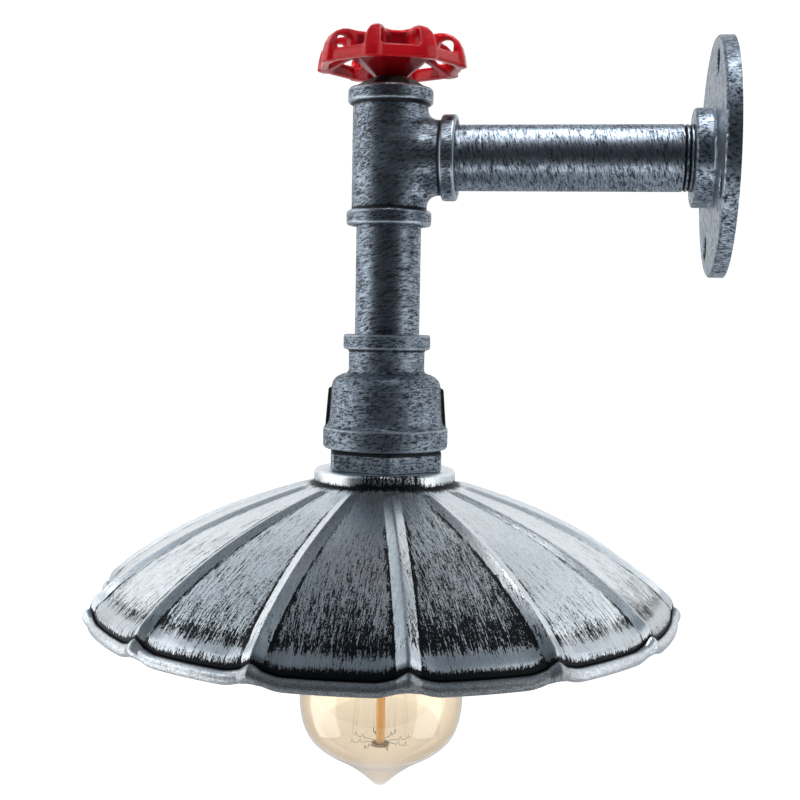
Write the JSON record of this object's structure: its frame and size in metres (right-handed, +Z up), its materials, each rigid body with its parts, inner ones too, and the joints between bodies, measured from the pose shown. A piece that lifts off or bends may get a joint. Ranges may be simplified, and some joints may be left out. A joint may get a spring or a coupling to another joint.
{
  "type": "pipe wall light",
  "caption": "Wall light of pipe fittings: wall flange, arm and tee with a red valve wheel switch, drop pipe, reducer, ribbed umbrella shade and a screw-in amber bulb.",
  "frame": {"origin": "centre of the back face of the wall flange, on the axis of the arm", "axes": "+X points into the wall along the arm, +Z up, the lamp projects to -X and hangs to -Z; +Y is away from the pictured side"},
  "size_m": [0.26, 0.2444, 0.3152],
  "materials": {
    "silvered_iron": "black base coat dry-brushed with silver, satin",
    "silvered_sheet": "black base coat dry-brushed with silver along the panels, satin",
    "red_enamel": "gloss red enamel",
    "blackened_brass": "blackened, brass showing at the edges",
    "brass": "bare",
    "porcelain": "glazed white",
    "black_insulator": "gloss",
    "graphite_packing": "matte",
    "switch_plastic": "matte",
    "brown_insulation": "satin",
    "blue_insulation": "satin",
    "green_yellow_insulation": "satin",
    "amber_glass": "clear pale amber",
    "amber_rod": "amber",
    "lamp_wire": "drawn wire",
    "filament_wire": "drawn wire"
  },
  "bodies": {
    "frame": {"wall_flange": "silvered_iron", "arm_nipple": "silvered_iron", "tee": "silvered_iron", "drop_nipple": "silvered_iron", "bell_reducer": "silvered_iron", "hex_nipple": "silvered_iron", "shade": "silvered_sheet", "shade_ring": "silvered_iron", "lampholder_body": "porcelain", "screw_shell": "brass", "centre_contact": "brass", "live_terminal": "brass", "neutral_terminal": "brass", "terminal_screws": "brass", "wire_live": "brown_insulation", "wire_switched": "brown_insulation", "wire_neutral": "blue_insulation", "wire_earth": "green_yellow_insulation", "earth_lug": "brass", "earth_screw": "brass", "bonnet": "blackened_brass", "packing_ring": "graphite_packing", "switch_housing": "switch_plastic", "switch_contacts": "brass"},
    "wheel": {"switch_rotor": "switch_plastic", "rotor_bridge": "brass", "spindle": "brass", "handwheel": "red_enamel", "wheel_washer": "brass", "wheel_nut": "brass"},
    "bulb_feed_piece": {"cap_contact": "lamp_wire"},
    "bulb": {"bulb_glass": "amber_glass", "cap_shell": "brass", "cap_insulator": "black_insulator", "stem_glass": "amber_glass", "support_rod": "amber_rod", "end_disc": "amber_rod", "filament_hooks": "lamp_wire", "filament": "filament_wire", "lead_wires": "lamp_wire"}
  },
  "joints": [
    {"name": "wheel_turn", "type": "hinge", "parent": "frame", "child": "wheel", "pos_m": [-0.136, 0, 0.035], "axis": [0, 0, 1], "range_deg": [0, 90]},
    {"name": "bulb_feed", "type": "slide", "parent": "frame", "child": "bulb_feed_piece", "axis": [0, 0, -1], "range_m": [0, 0.0218]},
    {"name": "bulb_turn", "type": "hinge", "parent": "bulb_feed_piece", "child": "bulb", "pos_m": [-0.136, 0, -0.15], "axis": [0, 0, -1], "range_deg": [0, 2160]}
  ],
  "couplings": [
    {"joint": "bulb_feed", "follows": "bulb_turn", "m_per_rad": 0.00057757}
  ]
}
